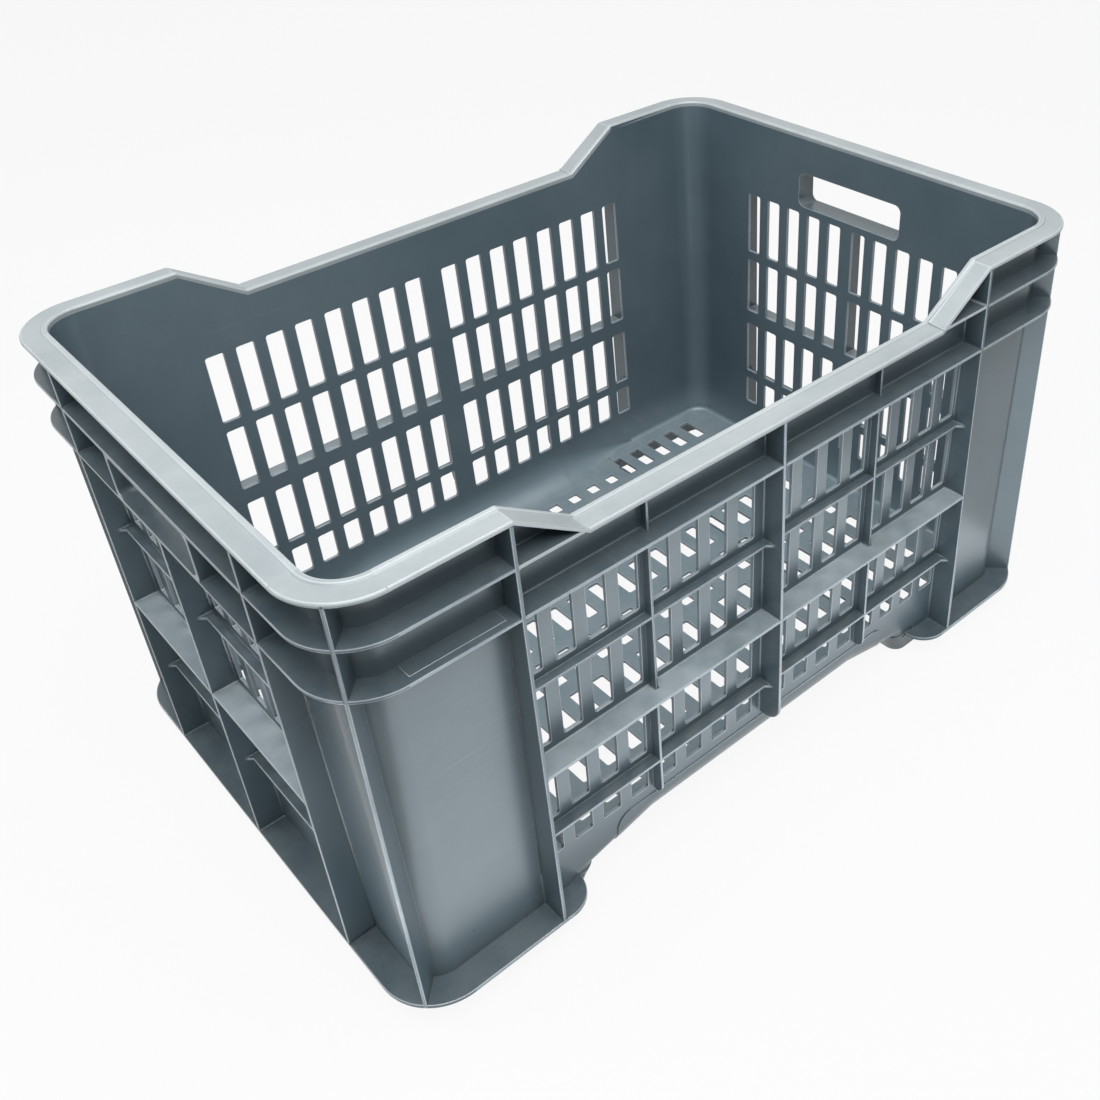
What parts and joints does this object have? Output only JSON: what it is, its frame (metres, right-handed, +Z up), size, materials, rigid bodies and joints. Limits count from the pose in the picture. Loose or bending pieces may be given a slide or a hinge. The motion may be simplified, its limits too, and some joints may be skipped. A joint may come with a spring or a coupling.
{
  "type": "plastic crate",
  "caption": "Ventilated open-topped stacking crate with slotted walls and floor, hand holes in the ends, a ribbed and ledged outside and a rim that dips along its long sides.",
  "frame": {"origin": "on the ground under the middle of the crate", "axes": "+X along the length, +Y across the width, +Z up; the long front wall faces -Y"},
  "size_m": [0.6, 0.4, 0.335],
  "materials": {
    "crate_plastic": "satin slate grey moulded plastic"
  },
  "bodies": {
    "root": {"back_bottom_cove": "crate_plastic", "back_centre_rib": "crate_plastic", "back_grille": "crate_plastic", "back_left_corner_post": "crate_plastic", "back_left_deep_rib": "crate_plastic", "back_left_middle_ledge": "crate_plastic", "back_left_rim_corner": "crate_plastic", "back_left_rim_tower": "crate_plastic", "back_left_shoulder_ledge": "crate_plastic", "back_right_corner_post": "crate_plastic", "back_right_deep_rib": "crate_plastic", "back_right_middle_ledge": "crate_plastic", "back_right_rim_corner": "crate_plastic", "back_right_rim_tower": "crate_plastic", "back_right_shoulder_ledge": "crate_plastic", "back_rim_dip": "crate_plastic", "floor_grid": "crate_plastic", "front_bottom_cove": "crate_plastic", "front_centre_rib": "crate_plastic", "front_grille": "crate_plastic", "front_left_corner_post": "crate_plastic", "front_left_deep_rib": "crate_plastic", "front_left_middle_ledge": "crate_plastic", "front_left_rim_corner": "crate_plastic", "front_left_rim_tower": "crate_plastic", "front_left_shoulder_ledge": "crate_plastic", "front_right_corner_post": "crate_plastic", "front_right_deep_rib": "crate_plastic", "front_right_middle_ledge": "crate_plastic", "front_right_rim_corner": "crate_plastic", "front_right_rim_tower": "crate_plastic", "front_right_shoulder_ledge": "crate_plastic", "front_rim_dip": "crate_plastic", "left_end_back_deep_rib": "crate_plastic", "left_end_back_middle_ledge": "crate_plastic", "left_end_base_ledge": "crate_plastic", "left_end_centre_rib": "crate_plastic", "left_end_front_deep_rib": "crate_plastic", "left_end_front_middle_ledge": "crate_plastic", "left_end_grille": "crate_plastic", "left_end_grip_ledge": "crate_plastic", "left_end_hand_hole_panel": "crate_plastic", "left_end_rim": "crate_plastic", "left_end_shoulder_ledge": "crate_plastic", "left_foot_ring": "crate_plastic", "right_end_back_deep_rib": "crate_plastic", "right_end_back_middle_ledge": "crate_plastic", "right_end_base_ledge": "crate_plastic", "right_end_centre_rib": "crate_plastic", "right_end_front_deep_rib": "crate_plastic", "right_end_front_middle_ledge": "crate_plastic", "right_end_grille": "crate_plastic", "right_end_grip_ledge": "crate_plastic", "right_end_hand_hole_panel": "crate_plastic", "right_end_rim": "crate_plastic", "right_end_shoulder_ledge": "crate_plastic", "right_foot_ring": "crate_plastic"}
  },
  "joints": []
}
